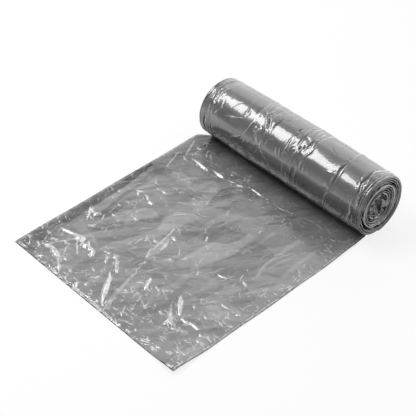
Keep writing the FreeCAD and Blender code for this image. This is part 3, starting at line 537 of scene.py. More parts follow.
def ridge(x, y, route, half_width, height, lean=0.0, peak=0.4):
    """One crease: a sharp fold along a route that tapers to both ends.

    Gives its relief, how deep each point lies in its crest line, where a highlight is painted (shade for a
    groove), and its flank to the right, which scattered creases paint lighter or darker as light."""
    relief, crest, flank = np.zeros(x.shape), np.full(x.shape, UNMARKED), np.zeros(x.shape)
    points = np.array(route, float)
    near = close_by(x, y, points, half_width * (2.2 + abs(lean)))
    if not near.any():
        return relief, crest, flank
    px, py = x[near], y[near]
    lengths = np.linalg.norm(np.diff(points, axis=0), axis=1)
    travelled = np.concatenate([[0], np.cumsum(lengths)])
    best = np.full(px.shape, np.inf)
    share = np.zeros(px.shape)
    side = np.zeros(px.shape)
    for i, length in enumerate(lengths):
        (ax, ay), (bx, by) = points[i], points[i + 1]
        dx, dy = (bx - ax) / length, (by - ay) / length
        t = np.clip((px - ax) * dx + (py - ay) * dy, 0, length)
        off_x, off_y = px - ax - t * dx, py - ay - t * dy
        off = np.hypot(off_x, off_y)
        closer = off < best
        best = np.where(closer, off, best)
        share = np.where(closer, (travelled[i] + t) / travelled[-1], share)
        side = np.where(closer, np.sign(dx * off_y - dy * off_x), side)
    swell = np.clip(np.minimum(share / peak, (1 - share) / (1 - peak)), 0, 1) ** 0.6
    width = half_width * (1 + lean * side) * np.maximum(swell, 0.15)
    relief[near] = height * swell * np.maximum(0, 1 - best / width)
    crest[near] = CREST_WIDTH * (1.2 * swell - 0.1) - best
    flank[near] = (side <= 0) * np.clip((width - best) / CREST_SOFTNESS, 0, 1) * (swell > 0)
    return relief, crest, flank


def outline_depth(x, y, outline):
    """How deep each point lies inside an outline, in millimetres; below zero outside."""
    points = np.array(outline, float)
    depth = np.full(x.shape, UNMARKED)
    near = close_by(x, y, points, 1)
    px, py = x[near], y[near]
    inside = np.zeros(px.shape, bool)
    best = np.full(px.shape, np.inf)
    for (ax, ay), (bx, by) in zip(points, np.roll(points, -1, axis=0)):
        dx, dy = bx - ax, by - ay
        t = np.clip(((px - ax) * dx + (py - ay) * dy) / (dx * dx + dy * dy), 0, 1)
        best = np.minimum(best, np.hypot(px - ax - t * dx, py - ay - t * dy))
        if ay != by:
            crosses = ((ay > py) != (by > py)) & (px < ax + (py - ay) * dx / dy)
            inside ^= crosses
    depth[near] = np.where(inside, best, -best)
    return depth


def press(glints_and_shades, depth, brightness):
    """Add a painted highlight, or painted shade where its brightness is below zero: at each point the deepest
    one and its brightness are kept.
    """
    deeper = depth > glints_and_shades[0]
    glints_and_shades[0][deeper] = depth[deeper]
    glints_and_shades[1][deeper] = np.broadcast_to(brightness, depth.shape)[deeper]


def scattered(x, y, glints_and_shades, pale, area, count, seed, lengths, widths, slopes, turns):
    """Random creases over an area, each with a slight bend; a slope below zero makes a valley.
    Pale paints a highlight along each crest, and the flank is returned for painting as light or shade.
    """
    random = np.random.default_rng(seed)
    relief, flank = np.zeros(x.shape), np.zeros(x.shape)
    x_low, x_high, y_low, y_high = area
    for _ in range(count):
        place = np.array([random.uniform(x_low, x_high), random.uniform(y_low, y_high)])
        length = random.uniform(*lengths)
        turn = math.radians(random.uniform(*turns))
        along = np.array([math.cos(turn), math.sin(turn)]) * length / 2
        across = np.array([-along[1], along[0]]) * random.uniform(-0.3, 0.3)
        route = [place - along, place + across, place + along]
        width, slope = random.uniform(*widths), random.uniform(*slopes)
        lean, peak = random.uniform(-0.5, 0.5), random.uniform(0.15, 0.85)
        rise, line, plane = ridge(x, y, route, width, width * slope, lean, peak)
        strength = min(1, abs(slope) / 0.5)
        relief += rise
        flank = np.maximum(flank, plane * strength)
        # Painted highlight along the crest
        if pale:
            press(glints_and_shades, line, pale * strength)
    return relief, flank


def add_object(name, data):
    """An object in the scene that holds a mesh, a lamp or a camera."""
    made = bpy.data.objects.new(name, data)
    bpy.context.scene.collection.objects.link(made)
    return made


def grid_faces(rows, columns, close=False):
    """Quads of a grid of points, row by row; close joins each row's end to its start."""
    index = np.arange(rows * columns).reshape(rows, columns)
    if close:
        index = np.concatenate([index, index[:, :1]], axis=1)
    a, b = index[:-1, :-1], index[:-1, 1:]
    c, d = index[1:, 1:], index[1:, :-1]
    return np.stack([a, b, c, d], axis=-1).reshape(-1, 4)


def make_piece(name, points, faces, material, tone=0.5, glints_and_shades=(MARK_FLOOR, 0.0), busy=1.0):
    """A smooth mesh in the object's frame, from points in millimetres, with its tone and its painted
    highlights and shade.
    """
    mesh = bpy.data.meshes.new(name)
    mesh.from_pydata((np.asarray(points) * MM).tolist(), [], [tuple(map(int, f)) for f in faces])
    mesh.polygons.foreach_set("use_smooth", [True] * len(mesh.polygons))
    paint = {"tone": tone, "depth": np.maximum(glints_and_shades[0], MARK_FLOOR), "glint": glints_and_shades[1], "busy": busy}
    for title, values in paint.items():
        values = np.asarray(values, float).ravel() + np.zeros(len(points))
        mesh.attributes.new(title, "FLOAT", "POINT").data.foreach_set("value", values)
    mesh.materials.append(material)
    mesh.update()
    piece = add_object(name, mesh)
    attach(piece, "root")
    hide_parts("bag_roll")
    return piece


# The roll's section

def roll_height(x):
    """Height of the roll along its length: rounded rims, and fatter in the middle."""
    inward = np.clip((HALF_LENGTH - np.abs(x)) / RIM_REACH, 0, 1)
    rounded = np.sqrt(1 - (1 - inward) ** 2)
    return END_HEIGHT + RIM_RISE * rounded + BARREL * (1 - (x / HALF_LENGTH) ** 2)


BACK_RADIUS = (END_HEIGHT + RIM_RISE + BARREL - UPRIGHT) / 2
FRONT_RADIUS = BACK_RADIUS - SHEET_STEP_UP / 2
QUARTER = math.pi / 2
STRETCHES = [
    BACK_RADIUS * QUARTER, UPRIGHT, BACK_RADIUS * QUARTER, FLAT_SPOT,
    FRONT_RADIUS * QUARTER, UPRIGHT, FRONT_RADIUS * QUARTER,
]
ROUND = sum(STRETCHES)
KNOTS = np.concatenate([[0], np.cumsum(STRETCHES)])


def on_roll(x, around, rise):
    """Points at a place along the roll and a distance round it from its foot, up the back."""
    angle = np.radians(np.interp(around, KNOTS, [-90, 0, 0, 90, 90, 180, 180, 270]))
    half_flat = FLAT_SPOT / 2
    centre_y = np.interp(around, KNOTS, [half_flat] * 4 + [-half_flat] * 4)
    front = np.interp(around, KNOTS, [0, 0, 0, 0, 1, 1, 1, 1])
    upper = np.interp(around, KNOTS, [0, 0, 1, 1, 1, 1, 0, 0])
    radius = (roll_height(x) - UPRIGHT - front * SHEET_STEP_UP) / 2
    centre_z = radius + upper * UPRIGHT + front * SHEET_STEP_UP
    y = centre_y + (radius + rise) * np.cos(angle)
    z = centre_z + (radius + rise) * np.sin(angle)
    return y, z


def distance_round(degrees):
    """Distance round the roll of an angle, where 0 is the back and 90 the top."""
    middles = [0, (KNOTS[1] + KNOTS[2]) / 2, (KNOTS[3] + KNOTS[4]) / 2, (KNOTS[5] + KNOTS[6]) / 2, ROUND]
    return np.interp(degrees, [-90, 0, 90, 180, 270], middles)


# Pieces

def roll_relief(x, around):
    """Height of the outer film over the plain roll, its tone with painted light and shade, and its painted
    highlights and shade along creases and facets.
    """
    kink_x, _ = facets(x, around, 5, 11)
    kink_s, _ = facets(x, around, 5, 12)
    bent_x = x + 0.6 * kink_x
    bent_s = around + 0.6 * kink_s
    busy = np.minimum(sum(np.exp(-(((x - middle) / reach) ** 2)) for middle, reach in ROLL_BUSY), 1)
    large, large_tone = facets(bent_x, bent_s, 20, 14, stretch=1.6, turn=15)
    middle, middle_tone = facets(bent_x, bent_s, 7, 16, stretch=1.9, turn=65)
    small, _ = facets(bent_x, bent_s, 3.0, 17, stretch=1.6, turn=80)
    crisp, _ = facets(x, around, 2.4, 10)
    relief = 0.12 * soft_noise(x, around, 70, 18) + 0.13 * large
    relief += (0.03 + 0.20 * busy) * middle + (0.01 + 0.10 * busy) * small
    tone = ROLL_TONE + 0.025 * large_tone + (0.015 + 0.025 * busy) * middle_tone
    # Painted shade on the roll's underside, a band of painted reflected light low on its front, and a thin
    # painted shade just past its top
    tone -= 0.19 * smooth_step(distance_round(153), distance_round(182), around)
    tone += 0.07 * np.exp(-(((around - distance_round(149)) / 4.0) ** 2))
    tone -= 0.04 * np.exp(-(((around - distance_round(93)) / 3.5) ** 2))
    glints_and_shades = [np.full(x.shape, UNMARKED), np.zeros(x.shape)]
    top, low = distance_round(84), distance_round(165)
    whole = (-HALF_LENGTH, HALF_LENGTH, 0, ROUND)
    strands = [(whole, 70, 19, (8, 34), (0.9, 1.8), (-0.20, 0.28), (55, 125)),
               (whole, 30, 20, (5, 18), (0.8, 1.5), (-0.20, 0.28), (-35, 45))]
    for number, (place, reach) in enumerate(ROLL_BUSY):
        area = (place - reach, place + reach, top, low)
        strands.append((area, int(3 * reach), 21 + number, (6, 18), (0.9, 1.6), (-0.5, 0.5), (62, 125)))
    # Random creases: painted highlights on their crests, and one flank painted a little lighter as light
    for strand in strands:
        rise, plane = scattered(bent_x, bent_s, glints_and_shades, 0.30, *strand)
        relief += rise
        tone += 0.03 * plane
    # Creases with painted highlights along their crests and painted shade in their grooves
    for height, change, route in ROLL_LINES:
        spots = [(along, distance_round(degrees)) for along, degrees in route]
        rise, line, _ = ridge(bent_x, bent_s, spots, 1.5, 1.1 * height)
        relief += rise * (0.9 + 0.1 * crisp)
        strength = 2.4 if change > 0 else 1.9
        press(glints_and_shades, line + 0.16 * min(abs(height), 1), strength * change * (0.85 + 0.15 * crisp))
    # Facets: the brightest painted as highlights and raised a little, the others painted lighter or darker as
    # light and shade
    for change, outline in ROLL_LIGHT_AND_SHADE:
        spots = [(along, distance_round(degrees)) for along, degrees in outline]
        depth = outline_depth(bent_x, bent_s, spots)
        if change > 0.1:
            press(glints_and_shades, depth, 1.4 * change * (0.8 + 0.3 * crisp))
            relief += np.clip(depth + 0.4, 0, 1.6) * 0.2
        else:
            tone += 1.3 * change * np.clip(0.5 + depth / 0.6, 0, 1)
    ends = HALF_LENGTH - np.abs(x)
    # Painted shade where the film turns in at the rims
    tone -= 0.14 * smooth_step(2.0, 0.3, ends)
    fade = smooth_step(0, 4, ends) * smooth_step(0, 12, np.minimum(around, ROUND - around))
    return relief * (0.2 + 0.8 * fade), tone, glints_and_shades, busy


def roll_skin(material):
    """The outermost turn of film, with its rims rolled a little way in; its mesh is finer in front."""
    lip = [(0.0, 0.4), (-0.5, 1.0), (-1.3, 1.5)]
    columns = int(2 * HALF_LENGTH / SKIN_STEP)
    first, last = distance_round(50), distance_round(215)
    round_rows = np.concatenate([
        np.arange(0, first, 1.4 * SKIN_STEP), np.arange(first, last, 0.9 * SKIN_STEP),
        np.linspace(last, ROUND, int((ROUND - last) / 1.4 / SKIN_STEP))])
    flat_x, around = np.meshgrid(np.linspace(-HALF_LENGTH, HALF_LENGTH, columns), round_rows)
    rise, tone, glints_and_shades, busy = roll_relief(flat_x, around)
    strips = [(-HALF_LENGTH - inward, rise[:, 0] - drop, 0) for inward, drop in lip[::-1]]
    strips += [(flat_x[0, i], rise[:, i], i) for i in range(columns)]
    strips += [(HALF_LENGTH + inward, rise[:, -1] - drop, columns - 1) for inward, drop in lip]
    layers = []
    for place, height, _ in strips:
        x = np.full(len(round_rows), place)
        y, z = on_roll(x, around[:, 0], height)
        layers.append(np.stack([x, y, np.maximum(z, 0.1)], axis=-1))
    points = np.stack(layers, axis=1)
    order = [strip[2] for strip in strips]
    faces = grid_faces(len(round_rows), len(strips))[:, ::-1]
    painted = (glints_and_shades[0][:, order], glints_and_shades[1][:, order])
    points = points.reshape(-1, 3)
    piece = make_piece("roll_skin", points, faces, material, tone[:, order], painted, busy[:, order])
    return piece


def end_outline(angles):
    """Distance from the end's middle to its outline, at angles run from the foot up the back."""
    around = np.linspace(0, ROUND, 720)
    y, z = on_roll(np.full(around.shape, HALF_LENGTH), around, -0.4)
    z = z - END_HEIGHT / 2
    turned = (np.degrees(np.arctan2(z, y)) + 90) % 360
    turned[turned > 359] -= 360
    order = np.argsort(turned)
    return np.interp(angles, turned[order], np.hypot(y, z)[order])


def end_turns(name, side, seed, material):
    """One end of the roll: a spiral of film edges round a crushed core."""
    columns = 560
    rows = int(END_HEIGHT / 2 / END_STEP)
    angles = np.linspace(0, 360, columns, endpoint=False)
    outline = end_outline(angles)
    angle, share = np.meshgrid(angles, np.linspace(1, 0.015, rows))
    reach = outline[None, :]
    radius = share * reach
    across = radius * np.sin(np.radians(angle))
    up = -radius * np.cos(np.radians(angle))
    inset = reach - radius
    sway = 0.30 * soft_noise(across, up, 26, seed) + 0.10 * soft_noise(across, up, 9, seed + 1)
    winding = (inset + sway * smooth_step(0, 4, inset)) / TURN_PITCH + angle / 360
    turn = np.floor(winding)
    part = winding - turn
    travelled = turn - angle / 360
    gap = np.minimum(part, 1 - part) * TURN_PITCH
    open_width = 0.40 + 0.36 * np.cos(math.pi * (travelled - 0.375))
    open_width += 0.14 * line_noise(travelled * 20, 24, seed + 2)
    open_width += 0.55 * np.exp(-(((inset - 6.6) / 1.4) ** 2))
    open_width = np.clip(open_width, 0.10, 1.05)
    closed = smooth_step(open_width * 0.6, open_width + 0.12, gap)
    stand = 0.45 * line_noise(travelled * 20, 50, seed + 3)
    stand += 0.10 * soft_noise(across, up, 8, seed + 4)
    thread = np.cos(2 * math.pi * 2 * part + 0.8 * soft_noise(across, up, 14, seed + 5))
    crown = 0.9 * (1 - (2 * part - 1) ** 2)
    dish = 3.0 * (1 - share) ** 0.8
    rim = np.exp(-(((inset - 1.7) / 0.45) ** 2))
    groove = 0
    for number, (place, swing, wavelength, reach_in, strength) in enumerate(END_GAPS):
        off = inset - place - swing * soft_noise(across, up, wavelength, seed + 10 + number)
        groove = groove + strength * np.exp(-((off / reach_in) ** 2))
    turns = stand * smooth_step(0, 3, inset) + 0.22 * thread + crown
    turns -= 5.5 * (1 - closed) + 1.6 * rim + 2.6 * groove
    core = smooth_step(13.0, 11.0, radius + 1.6 * soft_noise(across, up, 9, seed + 6))
    crushed, patch = facets(across, up, 3.0, seed + 7, stretch=2.4, turn=60)
    fine, _ = facets(across, up, 1.7, seed + 8, stretch=1.5, turn=110)
    hollow = np.exp(-((across / 2.2) ** 2 + ((up - 4.0) / 4.0) ** 2) ** 1.5)
    depth = dish - turns * (1 - core) - core * (2.6 * crushed + 1.1 * fine - 2.0 - 3.5 * hollow)
    depth = np.maximum(depth, 0) + 0.3
    x = side * (HALF_LENGTH - depth)
    layer = line_noise(turn * 7.3, 9, seed + 9)
    # Painted light and shade of the turns: crowns and turns that stand out painted paler as highlights, with
    # random tone from turn to turn; a paler band about 9 mm in and painted shade in the outer 5 mm; a painted
    # highlight at the very edge and painted shade in the rim's groove; in the core, paler where crushed film
    # stands higher and painted shade in its hollow; painted shade in the gaps between turns and in the gaps
    # all round
    tone = (0.08 * thread + 0.12 * stand + 0.34 * crown + 0.14 * layer + 0.02) * closed * (1 - core)
    tone += 0.05 * np.exp(-(((inset - 9.5) / 3.0) ** 2)) * closed
    tone += (0.10 * thread - 0.16) * np.exp(-((inset / 5.0) ** 2)) * closed
    tone += 0.12 * smooth_step(1.2, 0.4, inset) - 0.4 * rim
    tone += core * (0.05 + 0.30 * crushed + 0.24 * patch - 0.12 * hollow) - 0.38 * groove
    tone -= 0.40 * (1 - closed) * (1 - core)
    points = np.stack([x, across, up + END_HEIGHT / 2], axis=-1).reshape(-1, 3)
    faces = grid_faces(rows, columns, close=True)
    return make_piece(name, points, faces if side < 0 else faces[:, ::-1], material, tone)


def core_tab(name, side, route, width, material):
    """A strip of film crushed into the middle of an end."""
    middle = np.array(route, float)
    steps = np.linspace(0, len(middle) - 1, TAB_LENGTHWAYS)
    line = np.stack([np.interp(steps, range(len(middle)), middle[:, k]) for k in range(3)], axis=1)
    for _ in range(3):
        line[1:-1] = (line[:-2] + 2 * line[1:-1] + line[2:]) / 4
    along = np.gradient(line, axis=0)
    along /= np.linalg.norm(along, axis=1, keepdims=True)
    twist = np.linspace(0.2, 1.5, len(line))[:, None]
    flat = np.stack([-along[:, 1], along[:, 0], np.zeros(len(line))], axis=1)
    edge = flat * np.cos(twist) + np.array([0, 0, 1.0]) * np.sin(twist)
    swell = np.sin(np.linspace(0.25, math.pi - 0.25, len(line)))[:, None]
    rows = [line + edge * width * swell * share for share in np.linspace(-0.5, 0.5, TAB_ACROSS)]
    local = np.stack(rows, axis=1)
    local[:, :, 2] += 0.25 * np.sin(np.arange(TAB_ACROSS) * 2.1)
    floor = HALF_LENGTH - CORE_FLOOR
    across, up, out = np.moveaxis(local, 2, 0)
    points = np.stack([side * (floor + out), side * across, up + END_HEIGHT / 2], axis=-1)
    return make_piece(name, points.reshape(-1, 3), grid_faces(len(line), TAB_ACROSS), material)


def sheet_sides(y):
    """Left and right edges of the sheet at a distance from the roll's axis."""
    gather = smooth_step(GATHER_START, GATHER_END, y)
    left = SHEET_LEFT + (-HALF_LENGTH - SHEET_LEFT + 1.5) * gather + 0.35 * np.sin(y / 17.0)
    bow = 0.9 * np.sin(math.pi * np.clip((y - SHEET_FRONT) / -SHEET_FRONT, 0, 1))
    right = SHEET_RIGHT + bow + 0.3 * np.sin(y / 13.0 + 1.0) - 1.6 * smooth_step(-34, -14, y)
    right = right - 9.0 * smooth_step(-15, -6, y)
    return left, right


def sheet_relief(x, y):
    """Height of the unrolled bag's upper film over the lower one, and its tone, with painted light and shade.
    """
    kink_x, _ = facets(x, y, 6, 29)
    kink_y, _ = facets(x, y, 6, 30)
    bent_x = x + 0.7 * kink_x
    bent_y = y + 0.7 * kink_y
    calm = smooth_step(-10, 60, x) * smooth_step(-205, -150, y)
    busy = smooth_step(-0.7, 1.3, soft_noise(x, y, 58, 33)) * (1 - 0.6 * calm)
    large, large_tone = facets(bent_x, bent_y, 27, 35, stretch=1.9, turn=62)
    middle, middle_tone = facets(bent_x, bent_y, 9.5, 36, stretch=3.6, turn=57)
    small, small_tone = facets(bent_x, bent_y, 4.5, 37, stretch=2.0, turn=40)
    crisp, _ = facets(x, y, 2.4, 44)
    relief = 0.3 * soft_noise(x, y, 95, 34) + 1.1 * large
    relief += (0.32 + 0.30 * busy) * middle + (0.06 + 0.12 * busy) * small
    tone = SHEET_TONE + 0.040 * large_tone + 0.052 * middle_tone + (0.018 + 0.036 * busy) * small_tone
    # Painted shade near the roll and along the left edge, deeper at the back left; a little lighter to the
    # right and a little darker on the left
    tone -= 0.09 * smooth_step(-44, -18, y) + 0.06 * smooth_step(-98, -112, x)
    tone -= 0.08 * smooth_step(-90, -108, x) * smooth_step(-44, -28, y)
    tone += 0.035 * smooth_step(45, 90, x) - 0.055 * smooth_step(-70, -100, x) * smooth_step(-125, -116, x)
    glints_and_shades = [np.full(x.shape, UNMARKED), np.zeros(x.shape)]
    # Random creases: painted highlights on their crests, and one flank painted lighter or darker as light
    for pale, face, area, *strand in SHEET_STRANDS:
        rise, plane = scattered(bent_x, bent_y, glints_and_shades, pale, SHEET_AREAS[area], *strand)
        relief += rise
        tone += face * plane
    # Patches painted lighter or darker as light and shade, less strongly toward the front, each raised or
    # lowered a little
    softer = 1.8 - 0.7 * smooth_step(-190, -225, y)
    for change, outline in SHEET_LIGHT_AND_SHADE:
        depth = outline_depth(bent_x, bent_y, outline)
        tone += softer * change * np.clip(0.5 + depth / 0.6, 0, 1)
        relief += 2.0 * change * smooth_step(-0.4, 2.5, depth)
    # Crease lines with painted highlights along their crests
    for brightness, route in SHEET_GLINT_LINES:
        rise, line, _ = ridge(bent_x, bent_y, route, 1.1, 0.2 + 0.5 * brightness, 0.2)
        relief += rise
        press(glints_and_shades, line, 1.3 * brightness * (0.8 + 0.2 * crisp))
    # Shards painted bright as highlights, each rising like a low roof
    for brightness, outline in SHEET_GLINTS:
        depth = outline_depth(bent_x, bent_y, outline)
        press(glints_and_shades, depth - 0.05 - 0.30 * crisp, brightness * (0.60 + 0.40 * crisp))
        relief += np.clip(depth + 0.4, 0, 2.4) * (0.30 + 0.25 * brightness)
    rough = np.maximum(busy * (1 - calm), smooth_step(-215, -255, y))
    rough = np.maximum(rough, 0.8 * smooth_step(84, 104, x))
    return relief, tone, glints_and_shades, 0.35 + 0.65 * rough


def sheet_grid(step):
    """Rows and columns of one film of the sheet: across it, its left and right edges, and along it."""
    rows = int((SHEET_BACK - SHEET_FRONT) / step)
    columns = int((SHEET_RIGHT - SHEET_LEFT) / step)
    down = np.linspace(SHEET_FRONT, SHEET_BACK, rows)[:, None] + np.zeros(columns)
    left, right = sheet_sides(down)
    return left + (right - left) * np.linspace(0, 1, columns), left, right, down


def leading_bag(material):
    """The upper film of the unrolled bag, pressed down at its folded sides and torn front edge."""
    x, left, right, down = sheet_grid(SHEET_STEP)
    inward = down - SHEET_FRONT
    y = down + 0.35 * line_noise(x, 9, 41) * smooth_step(8, 0, inward)
    edge = np.minimum(x - left, right - x)
    relief, tone, glints_and_shades, busy = sheet_relief(x, y)
    # Painted shade right at the edges, and a painted highlight along the fold just inside them
    tone -= 0.16 * smooth_step(0.9, 0.2, edge)
    hem = np.abs(edge - 1.5 - 0.4 * line_noise(y, 18, 48))
    press(glints_and_shades, 0.45 - hem, 0.45 + 0.25 * line_noise(y, 12, 49))
    pressed = smooth_step(0, 7, edge) * smooth_step(0, 3, inward)
    nip = smooth_step(-26, -4, y)
    z = 1.5 + relief * (0.2 + 0.8 * pressed) * (1 - 0.7 * nip)
    z -= 0.75 * (1 - smooth_step(0, 4, edge))
    z -= 0.6 * (1 - smooth_step(0, 3, inward))
    z = np.maximum(z, 0.45 + 0.1 * soft_noise(x, y, 6, 42))
    z += sheet_lift(x, y)
    points = np.stack([x, y, z], axis=-1).reshape(-1, 3)
    piece = make_piece("leading_bag", points, grid_faces(*x.shape), material, tone, glints_and_shades, busy)
    return piece


def sheet_lift(x, y):
    """How far the whole bag stands off the table: at its front right corner and beside the roll."""
    corner = np.exp(-(((x - SHEET_RIGHT) / 24) ** 2 + ((y - SHEET_FRONT - 6) / 26) ** 2))
    beside = np.exp(-(((x - SHEET_RIGHT) / 9) ** 2 + ((y + 44) / 22) ** 2))
    return 3.4 * corner + 1.6 * beside


def leading_bag_under(material):
    """The lower film of the unrolled bag, showing as a thin line along its edges."""
    x, _, _, down = sheet_grid(UNDER_STEP)
    y = down - 0.5 * smooth_step(4, 0, down - SHEET_FRONT)
    z = 0.12 + sheet_lift(x, y) * 0.85 + 0.05 * (1 + soft_noise(x, y, 8, 43))
    points = np.stack([x, y, np.maximum(z, 0.05)], axis=-1).reshape(-1, 3)
    piece = make_piece("leading_bag_under", points, grid_faces(*x.shape), material, 0.25)
    return piece


# Materials

def node(tree, kind, output, *inputs, **named):
    """A shader node's output; what is given is linked, set as an input's value or set on the node."""
    made = tree.nodes.new("ShaderNode" + kind)
    for name, value in named.items():
        if name.replace("_", " ") not in made.inputs:
            setattr(made, name, value)
    filled = list(zip(made.inputs, inputs))
    filled += [(made.inputs[name.replace("_", " ")], value) for name, value in named.items()
               if name.replace("_", " ") in made.inputs]
    for socket, value in filled:
        if isinstance(value, bpy.types.NodeSocket):
            tree.links.new(value, socket)
        else:
            socket.default_value = value
    return made.outputs[output]


def texture_place(tree, scale, turn=0.0):
    """Object coordinates, turned about the vertical and scaled, to place a texture by."""
    place = node(tree, "TexCoord", "Object")
    return node(tree, "Mapping", "Vector", Vector=place, Scale=scale, Rotation=(0, 0, math.radians(turn)))


def add_veins(tree, cell, turn, narrow, share):
    """Fine sharp crinkle lines, painted pale as highlights and used as bump: edges of warped cells, shown only
    in scattered clusters.
    """
    place = texture_place(tree, (1, 1, 1))
    warp = node(tree, "TexNoise", "Color", Vector=place, Scale=90.0, Detail=2.0)
    squeezed = texture_place(tree, (1 / cell, 0.6 / cell, 1 / cell), turn)
    shifted = node(tree, "VectorMath", "Vector", warp, (0.9, 0.9, 0.9), squeezed, operation="MULTIPLY_ADD")
    cells = node(tree, "TexVoronoi", "Distance", Vector=shifted, Scale=1.0, feature="DISTANCE_TO_EDGE")
    line = node(tree, "MapRange", "Result", cells, From_Min=0.0, From_Max=narrow, To_Min=1.0, To_Max=0.0)
    cluster = node(tree, "TexNoise", "Fac", Vector=place, Scale=75.0, Detail=2.0, Roughness=0.7)
    shown = node(tree, "MapRange", "Result", cluster, From_Min=share, From_Max=share + 0.06)
    return node(tree, "Math", "Value", line, shown, operation="MULTIPLY")


def new_material(name):
    """A new material, its node tree and its shader's inputs."""
    material = bpy.data.materials.new(name)
    material.use_nodes = True
    tree = material.node_tree
    return material, tree, tree.nodes["Principled BSDF"].inputs


def film_material(name, colour, darker, roughness, metal, body_gloss, skin_roughness, skin, streaks,
                  grain, veins):
    """Silver-grey polyethylene: a satin pigmented body under a glossy skin, finely crinkled."""
    material, tree, shader = new_material(name)
    shader["Specular IOR Level"].default_value = body_gloss
    shader["IOR"].default_value = 1.55
    shader["Coat Weight"].default_value = skin
    shader["Coat Roughness"].default_value = skin_roughness
    shader["Coat IOR"].default_value = 1.6

    def add(value, gain, base):
        return node(tree, "Math", "Value", value, gain, base, operation="MULTIPLY_ADD")

    def painted(title):
        return node(tree, "Attribute", "Fac", attribute_name=title)

    streaked, plain = texture_place(tree, streaks), texture_place(tree, (1, 1, 1))
    cloud = node(tree, "TexNoise", "Fac", Vector=streaked, Scale=1.0, Detail=4.0, Roughness=0.6)
    ragged = node(tree, "TexNoise", "Fac", Vector=plain, Scale=340.0, Detail=2.0, Roughness=0.6)

    # Marks: painted highlights of creases and facets, and painted shade of grooves, cut sharp where their
    # painted depth passes a ragged edge
    edge = node(tree, "MapRange", "Result", add(ragged, 1.0, painted("depth")), From_Min=0.46, From_Max=0.70)
    glint_and_shade = node(tree, "Math", "Value", edge, painted("glint"), operation="MULTIPLY")
    # Fine crinkle lines, painted pale as highlights where the film is busy
    lines = add(add_veins(tree, 0.0058, -40, 0.055, 0.59), 0.8, add_veins(tree, 0.012, 25, 0.032, 0.54))
    lines = node(tree, "Math", "Value", lines, painted("busy"), operation="MULTIPLY")
    tone = add(lines, veins, add(glint_and_shade, 1.0, add(cloud, grain, painted("tone"))))
    mixed = node(tree, "Mix", "Result", data_type="RGBA", Factor=tone, A=(*darker, 1), B=(*colour, 1))
    tree.links.new(mixed, shader["Base Color"])

    metallic = node(tree, "MapRange", "Result", glint_and_shade, To_Min=metal, To_Max=metal + 0.6)
    tree.links.new(metallic, shader["Metallic"])
    satin = node(tree, "MapRange", "Result", cloud, To_Min=roughness - 0.05, To_Max=roughness + 0.07)
    tree.links.new(add(glint_and_shade, 0.12, satin), shader["Roughness"])
    height = add(cloud, 2.0 * grain, add(lines, 0.8, ragged))
    bump = node(tree, "Bump", "Normal", Height=height, Strength=0.10, Distance=0.0004)
    tree.links.new(bump, shader["Normal"])
    return material


def floor_material():
    """White table: lifted to white for the camera, and with a painted pool of light, paler near the object
    than far from it.
    """
    material, tree, shader = new_material("table")
    shader["Roughness"].default_value = 0.9
    shader["Specular IOR Level"].default_value = 0.1
    shader["Emission Color"].default_value = (1, 1, 1, 1)
    to_camera = node(tree, "LightPath", "Is Camera Ray")
    in_gloss = node(tree, "LightPath", "Is Glossy Ray")
    away = node(tree, "VectorMath", "Value", node(tree, "TexCoord", "Object"), operation="LENGTH")
    pool = node(tree, "MapRange", "Result", away, interpolation_type="SMOOTHSTEP",
                From_Min=0.30, From_Max=0.75, To_Min=FLOOR_NEAR, To_Max=FLOOR_FAR)
    seen = node(tree, "Mix", "Result", data_type="RGBA", Factor=to_camera, A=pool, B=(*[FLOOR_SEEN] * 3, 1))
    tree.links.new(seen, shader["Base Color"])
    lift = node(tree, "Math", "Value", to_camera, FLOOR_LIFT, operation="MULTIPLY")
    mirrored = node(tree, "Math", "Value", in_gloss, FLOOR_MIRRORED, lift, operation="MULTIPLY_ADD")
    tree.links.new(mirrored, shader["Emission Strength"])
    return material


# Surroundings

def table():
    """A wide plain floor under the object."""
    half = 4.0
    mesh = bpy.data.meshes.new("table")
    corners = [(-half, -half, 0), (half, -half, 0), (half, half, 0), (-half, half, 0)]
    mesh.from_pydata(corners, [], [(0, 1, 2, 3)])
    mesh.materials.append(floor_material())
    add_object("table", mesh)


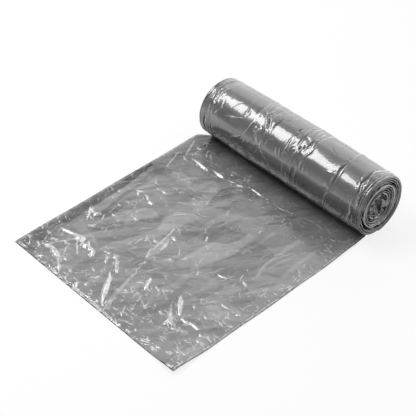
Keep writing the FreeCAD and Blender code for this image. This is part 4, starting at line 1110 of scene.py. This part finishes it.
def sky():
    """A studio round the object: dim before it, brighter low behind it, white to the camera."""
    world = bpy.data.worlds.new("studio")
    bpy.context.scene.world = world
    world.use_nodes = True
    tree = world.node_tree
    background = tree.nodes["Background"].inputs
    background["Color"].default_value = (1, 1, 1, 1)

    def ramp(value, low, high, start, end):
        return node(tree, "MapRange", "Result", value, interpolation_type="SMOOTHSTEP",
                    From_Min=low, From_Max=high, To_Min=start, To_Max=end)

    place = node(tree, "TexCoord", "Generated")
    facing = node(tree, "VectorMath", "Value", place, (0.0, 1.0, 0.0), operation="DOT_PRODUCT")
    level = ramp(facing, -0.3, 0.4, WORLD_LOW, WORLD_MIDDLE)
    backdrop = ramp(facing, 0.34, 0.56, 0.0, WORLD_HIGH - WORLD_MIDDLE)
    whole = node(tree, "Math", "Value", level, backdrop, operation="ADD")
    horizon = ramp(node(tree, "SeparateXYZ", "Z", place), 0.0, 0.2, HORIZON_GLOW, 0.0)
    glow = node(tree, "Math", "Value", whole, horizon, operation="MAXIMUM")
    to_camera = node(tree, "LightPath", "Is Camera Ray")
    shown = node(tree, "Mix", "Result", data_type="FLOAT", Factor=to_camera, A=glow, B=1.0)
    tree.links.new(shown, background["Strength"])


def softbox():
    """A rectangular lamp that faces the roll; its power follows from its brightness."""
    data = bpy.data.lights.new("key", "AREA")
    data.shape = "RECTANGLE"
    data.size, data.size_y = KEY_SIZE
    data.energy = KEY_RADIANCE * math.pi * data.size * data.size_y
    lamp = add_object("key", data)
    away = Vector(KEY_DIRECTION).normalized()
    lamp.location = Vector(KEY_TARGET) + away * KEY_DISTANCE
    lamp.rotation_euler = away.to_track_quat("Z", "Y").to_euler()


def camera():
    """The photograph's camera."""
    azimuth, tilt, roll = (math.radians(a) for a in (CAMERA_AZIMUTH, CAMERA_TILT, CAMERA_ROLL))
    back = Vector((math.sin(azimuth) * math.cos(tilt), -math.cos(azimuth) * math.cos(tilt), math.sin(tilt)))
    right = (-back).cross(Vector((0, 0, 1))).normalized()
    up = right.cross(-back)
    right, up = right * math.cos(roll) + up * math.sin(roll), up * math.cos(roll) - right * math.sin(roll)
    data = bpy.data.cameras.new("camera")
    data.sensor_width = SENSOR
    data.lens = SENSOR * FOCAL_PIXELS / PHOTO_PIXELS
    data.clip_start, data.clip_end = 0.05, 20
    eye = add_object("camera", data)
    eye.matrix_world = Matrix.Translation(CAMERA_PLACE) @ Matrix((right, up, back)).transposed().to_4x4()
    bpy.context.scene.camera = eye


def main():
    camera()
    bpy.context.scene.view_settings.view_transform = "Standard"
    film, wound, edges = (film_material(name, **values) for name, values in FILMS.items())
    end_turns("roll_turns_right", 1, 51, edges)
    end_turns("roll_turns_left", -1, 71, edges)
    for name, side, route, width in CORE_TABS:
        core_tab(name, side, route, width, film)
    roll_skin(wound)
    leading_bag_under(film)
    leading_bag(film)
    table()
    sky()
    softbox()


main()
